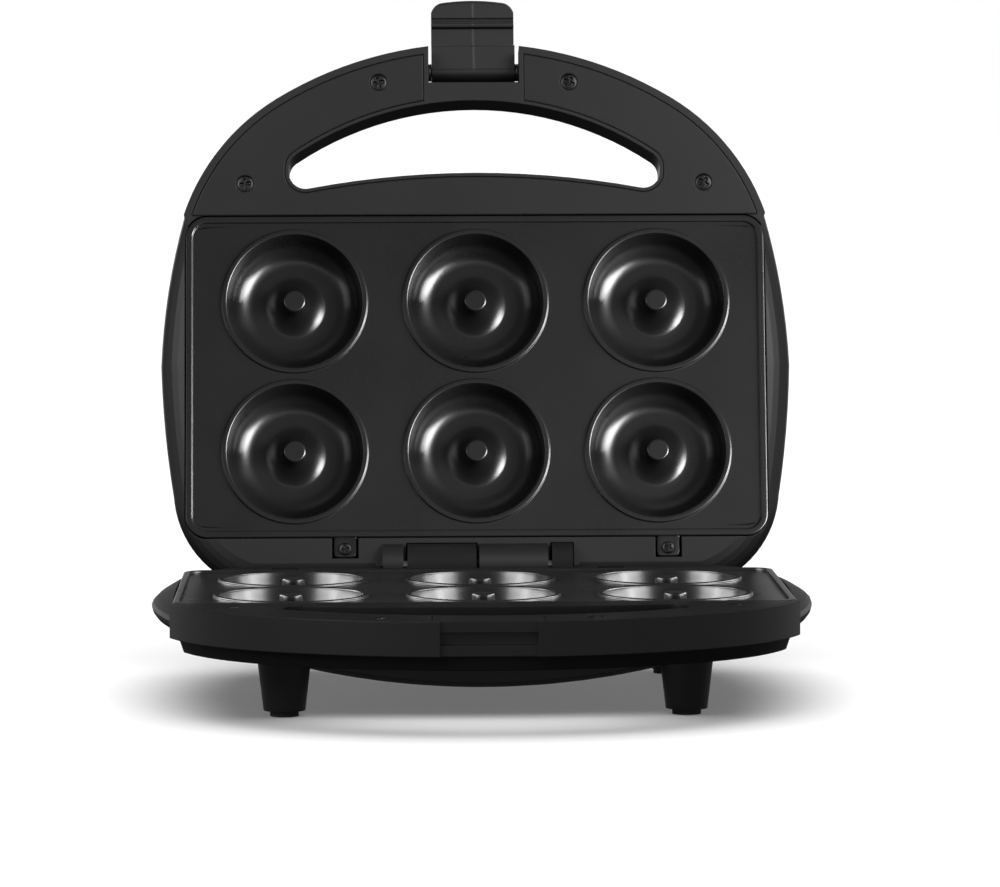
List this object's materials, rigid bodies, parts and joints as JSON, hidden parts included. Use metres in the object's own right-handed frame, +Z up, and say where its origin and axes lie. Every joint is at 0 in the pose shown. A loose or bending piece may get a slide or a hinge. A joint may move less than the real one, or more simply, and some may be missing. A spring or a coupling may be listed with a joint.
{
  "type": "donut maker",
  "caption": "Table-top donut maker with hinged lid, ring wells in two hot plates, arched loop handles and a flip latch.",
  "frame": {"origin": "centre of the bounding box with the lid open, on the table", "axes": "+Z up, -Y towards the user (handle side), +X to the user's right, hinge axis along X"},
  "size_m": [0.235, 0.2716, 0.2464],
  "materials": {
    "shell_plastic": "black moulded, satin",
    "panel_plastic": "black moulded, fine texture",
    "latch_plastic": "black moulded, satin",
    "nonstick": "black non-stick coating",
    "black_screw": "blackened steel",
    "steel": "zinc plated",
    "heater_tube": "oxidised tube",
    "reflector_sheet": "bright rolled sheet",
    "heatproof": "off-white heat resistant",
    "rubber": "black, matt",
    "red_lens": "translucent red",
    "green_lens": "translucent green"
  },
  "bodies": {
    "base": {"base_shell": "shell_plastic", "base_handle_panel": "panel_plastic", "base_panel_screws": "black_screw", "base_plate": "nonstick", "base_plate_screws": "black_screw", "base_element": "heater_tube", "base_element_bushes": "heatproof", "base_reflector": "reflector_sheet", "base_reflector_screws": "steel", "feet": "shell_plastic", "foot_pads": "rubber", "cord_bushing": "rubber", "terminal_block": "heatproof", "thermostat": "heatproof", "thermal_fuse": "heatproof", "hinge_pins": "steel", "hinge_wire_sleeve": "rubber"},
    "lid": {"lid_shell": "shell_plastic", "lid_handle_panel": "panel_plastic", "lid_panel_screws": "black_screw", "lid_plate": "nonstick", "lid_plate_screws": "black_screw", "lid_element": "heater_tube", "lid_element_bushes": "heatproof", "lid_reflector": "reflector_sheet", "lid_reflector_screws": "steel", "power_lens": "red_lens", "ready_lens": "green_lens", "lamp_holder": "panel_plastic", "latch_pin": "steel"},
    "latch": {"latch": "latch_plastic"}
  },
  "joints": [
    {"name": "lid_hinge", "type": "hinge", "parent": "base", "child": "lid", "pos_m": [0, 0.06167, 0.039], "axis": [1, 0, 0], "range_deg": [0, 103.2]},
    {"name": "latch_pivot", "type": "hinge", "parent": "lid", "child": "latch", "pos_m": [0, 0.11796, 0.22095], "axis": [1, 0, 0], "range_deg": [0, 90]}
  ]
}
